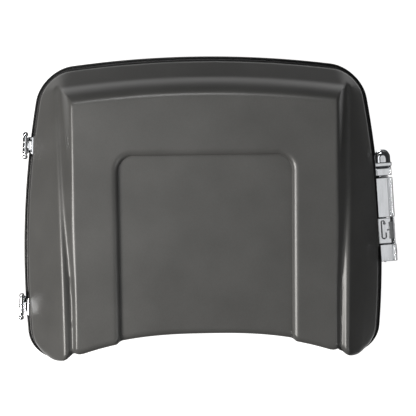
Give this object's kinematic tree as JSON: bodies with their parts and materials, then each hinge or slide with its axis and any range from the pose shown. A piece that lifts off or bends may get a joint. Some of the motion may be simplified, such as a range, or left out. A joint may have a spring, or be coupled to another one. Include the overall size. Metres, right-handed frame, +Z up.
{
  "type": "motorcycle touring trunk",
  "caption": "Hard-shell motorcycle touring trunk with a side-hinged lid, a recessed top, a black rim moulding and a long chrome side latch with a lock.",
  "frame": {"origin": "middle of the rack bolt pattern, on the underside of the mounting plate", "axes": "+X towards the latch side, -X towards the hinges, -Y towards the rider, +Z up"},
  "size_m": [0.6688, 0.5271, 0.2886],
  "materials": {
    "shell_plastic": "moulded ABS, painted satin charcoal",
    "lid_paint": "moulded ABS, painted satin charcoal",
    "trim_black": "moulded black nylon, satin",
    "seal_rubber": "extruded foam rubber",
    "mat_rubber": "ribbed rubber mat",
    "chrome": "die-cast zinc, polished and chrome-plated",
    "steel": "zinc-plated pressed steel",
    "spring_steel": "drawn spring wire",
    "liner": "needled felt on board"
  },
  "bodies": {
    "tub": {"lower_shell": "shell_plastic", "mounting_plate": "steel", "floor_washers": "steel", "floor_mat": "mat_rubber", "rim_moulding": "trim_black", "lid_seal": "seal_rubber", "drain_grommets": "seal_rubber", "hinge_body_leaf_front": "chrome", "hinge_body_leaf_rear": "chrome", "hinge_pin_front": "chrome", "hinge_pin_rear": "chrome", "hinge_body_screws": "steel", "hinge_body_backing": "steel", "latch_spacer": "trim_black", "latch_housing": "chrome", "latch_end_cap": "chrome", "latch_screws": "steel", "latch_backing": "steel", "handle_pin": "steel", "handle_springs": "spring_steel", "tether_body_anchor": "steel"},
    "lid": {"lid_shell": "lid_paint", "lid_liner": "liner", "liner_clips": "trim_black", "hinge_lid_leaf_front": "chrome", "hinge_lid_leaf_rear": "chrome", "hinge_lid_screws": "steel", "hinge_lid_backing": "steel", "catch_plate": "chrome", "catch_screws": "steel", "catch_backing": "steel", "keeper_spring": "spring_steel", "tether_lid_anchor": "steel"},
    "latch_lever": {"latch_handle": "chrome", "handle_claw": "steel", "claw_rivets": "steel", "lock_barrel": "chrome"},
    "lock": {"lock_plug": "steel", "lock_cam": "steel"}
  },
  "joints": [
    {"name": "lid_hinge", "type": "hinge", "parent": "tub", "child": "lid", "pos_m": [-0.30782, 0.112, 0.188], "axis": [-0.0451, -0.999, 0], "range_deg": [0, 85]},
    {"name": "handle_pull", "type": "hinge", "parent": "tub", "child": "latch_lever", "pos_m": [0.32647, -0.02559, 0.138], "axis": [-0.0617, 0.9981, 0], "range_deg": [0, 35], "stiffness_Nm_per_rad": 0.6, "springref_deg": -11.46},
    {"name": "key_turn", "type": "hinge", "parent": "latch_lever", "child": "lock", "pos_m": [0.32812, -0.08461, 0.17], "axis": [0.9981, 0.0617, 0], "range_deg": [0, 90]}
  ]
}
